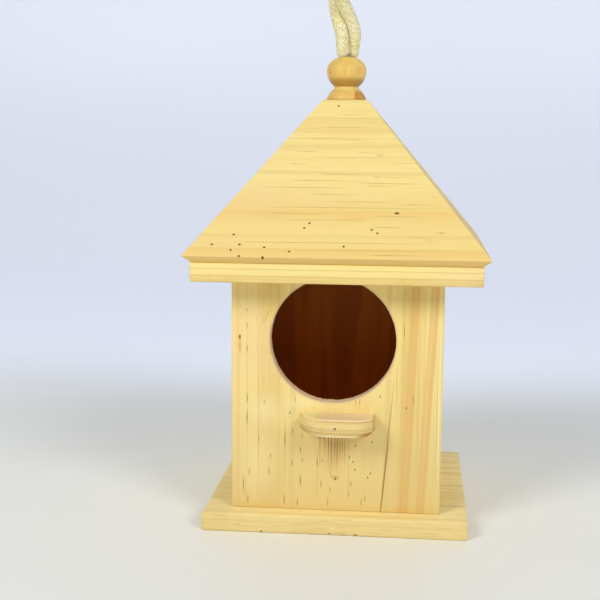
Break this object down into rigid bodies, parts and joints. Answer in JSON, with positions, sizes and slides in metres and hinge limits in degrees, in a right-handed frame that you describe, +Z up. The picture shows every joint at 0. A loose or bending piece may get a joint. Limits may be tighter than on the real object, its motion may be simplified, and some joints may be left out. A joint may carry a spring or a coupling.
{
  "type": "birdhouse",
  "caption": "Unpainted pine birdhouse: square box on a base board, round entrance, small block perch, boarded pyramid roof, turned ball finial and a cotton hanging loop.",
  "frame": {"origin": "centre of the base board's underside, on the floor or shelf the birdhouse stands on", "axes": "+Z up through the roof's finial; the entrance hole and the perch face -Y; +X is to the right as seen from the front"},
  "size_m": [0.14, 0.14, 0.297],
  "materials": {
    "pine": "unfinished, sanded",
    "turned_pine": "turned, waxed",
    "cotton": "braided",
    "steel": "plain wire"
  },
  "bodies": {
    "root": {"base_board": "pine", "front_wall": "pine", "back_wall": "pine", "left_wall": "pine", "right_wall": "pine", "eave_board": "pine", "roof_front": "pine", "roof_right": "pine", "roof_back": "pine", "roof_left": "pine", "perch": "pine", "finial": "turned_pine", "perch_brad": "steel", "wall_brads": "steel", "base_nails": "steel", "eave_nails": "steel", "hanging_rope": "cotton", "rope_tails": "cotton", "rope_knot": "cotton"}
  },
  "joints": []
}
